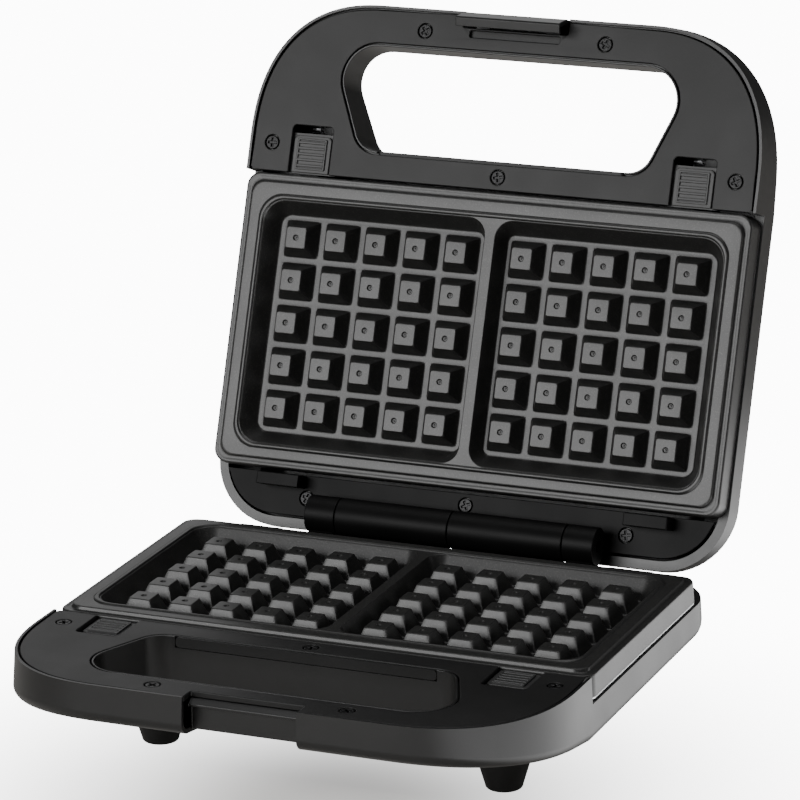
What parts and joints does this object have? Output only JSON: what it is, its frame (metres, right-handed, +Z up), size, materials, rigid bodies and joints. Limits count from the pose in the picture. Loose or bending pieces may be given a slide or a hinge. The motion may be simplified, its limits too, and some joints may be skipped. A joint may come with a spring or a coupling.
{
  "type": "waffle maker",
  "caption": "Square two-slice waffle maker shown open, with a hinged lid, removable grid plates, handle openings in both halves and a front latch.",
  "frame": {"origin": "on the surface under the feet, below the middle of the open appliance's box", "axes": "+X to the right seen from the front, +Y to the back, +Z up; the handles and latch are at -Y"},
  "size_m": [0.234, 0.3142, 0.2626],
  "materials": {
    "case": "satin black moulded case",
    "panel": "fine-textured satin black panel",
    "rear_cover": "smooth near-black cover",
    "plate": "dark grey speckled non-stick coating",
    "pan": "pressed aluminised sheet",
    "element": "oxidised sheath",
    "button": "satin dark grey",
    "screw": "black oxide",
    "spring_steel": "bright spring steel",
    "foot": "black, slightly glossy",
    "ceramic": "off-white ceramic",
    "rubber": "black rubber",
    "red_lens": "clear red",
    "green_lens": "clear green"
  },
  "bodies": {
    "base": {"base_button_spring_left": "spring_steel", "base_button_spring_right": "spring_steel", "base_heating_element": "element", "base_pan": "pan", "base_panel": "panel", "base_panel_screw_1": "screw", "base_panel_screw_2": "screw", "base_panel_screw_3": "screw", "base_panel_screw_4": "screw", "base_panel_screw_5": "screw", "base_rear_panel": "rear_cover", "base_rear_screw_1": "screw", "base_rear_screw_2": "screw", "base_rear_screw_3": "screw", "base_shell": "case", "catch": "case", "cord_grommet": "rubber", "foot_front_left": "foot", "foot_front_right": "foot", "foot_rear_left": "foot", "foot_rear_right": "foot", "hinge_knuckle_left": "rear_cover", "hinge_knuckle_right": "rear_cover", "hinge_pin_left": "spring_steel", "hinge_pin_right": "spring_steel", "terminal_block": "ceramic", "thermal_fuse": "spring_steel", "thermostat": "ceramic"},
    "lid": {"hinge_barrel_left": "rear_cover", "hinge_barrel_right": "rear_cover", "latch_pin": "spring_steel", "latch_spring": "spring_steel", "lid_button_spring_left": "spring_steel", "lid_button_spring_right": "spring_steel", "lid_heating_element": "element", "lid_pan": "pan", "lid_panel": "panel", "lid_panel_screw_1": "screw", "lid_panel_screw_2": "screw", "lid_panel_screw_3": "screw", "lid_panel_screw_4": "screw", "lid_panel_screw_5": "screw", "lid_rear_panel": "rear_cover", "lid_rear_screw_1": "screw", "lid_rear_screw_2": "screw", "lid_rear_screw_3": "screw", "lid_shell": "case", "power_lens": "red_lens", "ready_lens": "green_lens"},
    "latch": {"latch": "case"},
    "plate_lower": {"plate_lower": "plate"},
    "plate_upper": {"plate_upper": "plate"},
    "base_button_left": {"base_button_left": "button"},
    "base_button_right": {"base_button_right": "button"},
    "lid_button_left": {"lid_button_left": "button"},
    "lid_button_right": {"lid_button_right": "button"}
  },
  "joints": [
    {"name": "lid_hinge", "type": "hinge", "parent": "base", "child": "lid", "pos_m": [0, 0.06419, 0.0565], "axis": [-1, 0, 0], "range_deg": [-110.6, 0]},
    {"name": "latch_rock", "type": "hinge", "parent": "lid", "child": "latch", "pos_m": [0, 0.14669, 0.25325], "axis": [-1, 0, 0], "range_deg": [0, 24], "stiffness_Nm_per_rad": 0.15, "springref_deg": -11.46},
    {"name": "base_button_left_slide", "type": "slide", "parent": "base", "child": "base_button_left", "axis": [0, -1, 0], "range_m": [0, 0.004], "stiffness_N_per_m": 250, "springref_m": -0.002, "deforming": ["base_button_spring_left"]},
    {"name": "base_button_right_slide", "type": "slide", "parent": "base", "child": "base_button_right", "axis": [0, -1, 0], "range_m": [0, 0.004], "stiffness_N_per_m": 250, "springref_m": -0.002, "deforming": ["base_button_spring_right"]},
    {"name": "lid_button_left_slide", "type": "slide", "parent": "lid", "child": "lid_button_left", "axis": [0, 0.3518, 0.9361], "range_m": [0, 0.004], "stiffness_N_per_m": 250, "springref_m": -0.002, "deforming": ["lid_button_spring_left"]},
    {"name": "lid_button_right_slide", "type": "slide", "parent": "lid", "child": "lid_button_right", "axis": [0, 0.3518, 0.9361], "range_m": [0, 0.004], "stiffness_N_per_m": 250, "springref_m": -0.002, "deforming": ["lid_button_spring_right"]},
    {"name": "plate_lower_lift", "type": "slide", "parent": "base", "child": "plate_lower", "axis": [0, 0, 1], "range_m": [0, 0.04]},
    {"name": "plate_upper_lift", "type": "slide", "parent": "lid", "child": "plate_upper", "axis": [0, -0.9361, 0.3518], "range_m": [0, 0.022], "stiffness_N_per_m": 400, "springref_m": -0.02}
  ]
}
